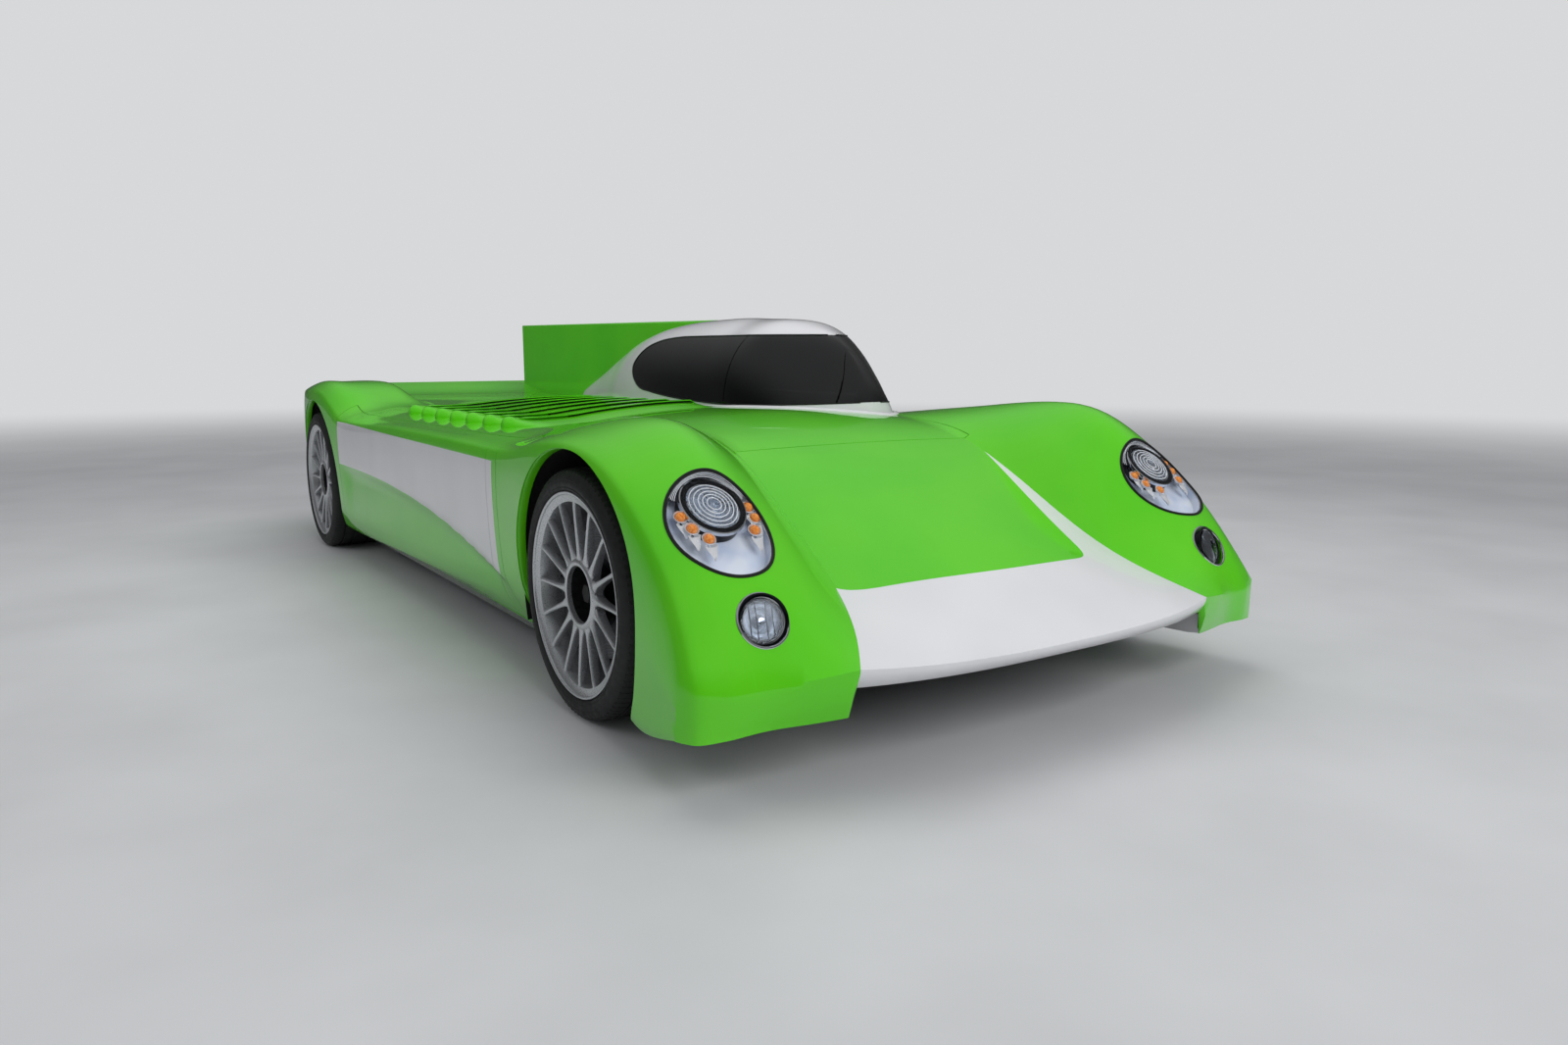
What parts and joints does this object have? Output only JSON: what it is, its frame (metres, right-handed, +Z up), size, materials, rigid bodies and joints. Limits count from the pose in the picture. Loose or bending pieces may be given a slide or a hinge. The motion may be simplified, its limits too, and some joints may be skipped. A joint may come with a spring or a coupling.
{
  "type": "electric sports car prototype",
  "caption": "Low closed electric racing prototype with an offset cockpit bubble, tail fin, louvred deck, rolling and steering wheels and a gull-wing door.",
  "frame": {"origin": "on the ground under the middle of the body's length and width", "axes": "the car faces -Y, its right side is -X, +Z is up"},
  "size_m": [1.9696, 4.65, 1.094],
  "materials": {
    "green_paint": "gloss metallic paint",
    "white_paint": "gloss",
    "tinted_glass": "clear tinted",
    "dark_composite": "satin",
    "silver_alloy": "satin",
    "steel": "machined",
    "rubber": "matte",
    "seat_cloth": "woven",
    "black_grip": "grained",
    "lamp_lens": "clear",
    "tail_lens": "gloss"
  },
  "bodies": {
    "root": {"nose_panel": "white_paint", "front_fender_right": "green_paint", "front_fender_left": "green_paint", "cowl_panel": "green_paint", "side_panel_right": "green_paint", "side_panel_left": "green_paint", "louvre_deck": "green_paint", "rear_fender_right": "green_paint", "rear_fender_left": "green_paint", "rear_deck": "green_paint", "tail_panel": "dark_composite", "fin": "green_paint", "canopy_roof": "white_paint", "windscreen": "tinted_glass", "side_window": "tinted_glass", "floor_pan": "dark_composite", "cockpit_tub": "dark_composite", "seat": "seat_cloth", "dash": "dark_composite", "battery_pack": "dark_composite", "front_drive_unit": "steel", "rear_drive_unit": "steel", "front_suspension": "steel", "rear_suspension": "steel", "rear_upright_right": "steel", "rear_upright_left": "steel", "headlamp_right": "lamp_lens", "headlamp_left": "lamp_lens", "fog_lamp_right": "lamp_lens", "fog_lamp_left": "lamp_lens", "tail_lamp_right": "tail_lens", "tail_lamp_left": "tail_lens"},
    "door": {"door_frame": "white_paint", "door_glass": "tinted_glass"},
    "steering_wheel": {"steering_wheel": "black_grip"},
    "knuckle_right": {"front_knuckle_right": "steel"},
    "knuckle_left": {"front_knuckle_left": "steel"},
    "wheel_front_right": {"wheel_front_right": "silver_alloy", "tyre_front_right": "rubber"},
    "wheel_front_left": {"wheel_front_left": "silver_alloy", "tyre_front_left": "rubber"},
    "wheel_rear_right": {"wheel_rear_right": "silver_alloy", "tyre_rear_right": "rubber"},
    "wheel_rear_left": {"wheel_rear_left": "silver_alloy", "tyre_rear_left": "rubber"}
  },
  "joints": [
    {"name": "door_swing", "type": "hinge", "parent": "root", "child": "door", "pos_m": [0.5605, -0.2279, 1.022], "axis": [0, -1, 0], "range_deg": [0, 75]},
    {"name": "steer_right", "type": "hinge", "parent": "root", "child": "knuckle_right", "pos_m": [-0.79, -1.481, 0.326], "axis": [0, 0, 1], "range_deg": [-20, 20]},
    {"name": "steer_left", "type": "hinge", "parent": "root", "child": "knuckle_left", "pos_m": [0.79, -1.481, 0.326], "axis": [0, 0, 1], "range_deg": [-20, 20]},
    {"name": "steering_wheel_turn", "type": "hinge", "parent": "root", "child": "steering_wheel", "pos_m": [0.38, -0.42, 0.61], "axis": [0, 1, 0], "range_deg": [-200, 200]},
    {"name": "wheel_front_right_spin", "type": "hinge", "parent": "knuckle_right", "child": "wheel_front_right", "pos_m": [-0.806, -1.481, 0.326], "axis": [1, 0, 0], "continuous": true},
    {"name": "wheel_front_left_spin", "type": "hinge", "parent": "knuckle_left", "child": "wheel_front_left", "pos_m": [0.806, -1.481, 0.326], "axis": [1, 0, 0], "continuous": true},
    {"name": "wheel_rear_right_spin", "type": "hinge", "parent": "root", "child": "wheel_rear_right", "pos_m": [-0.806, 1.565, 0.326], "axis": [1, 0, 0], "continuous": true},
    {"name": "wheel_rear_left_spin", "type": "hinge", "parent": "root", "child": "wheel_rear_left", "pos_m": [0.806, 1.565, 0.326], "axis": [1, 0, 0], "continuous": true}
  ],
  "couplings": [
    {"joint": "steer_left", "follows": "steer_right", "ratio": 1},
    {"joint": "steering_wheel_turn", "follows": "steer_right", "ratio": 10}
  ]
}
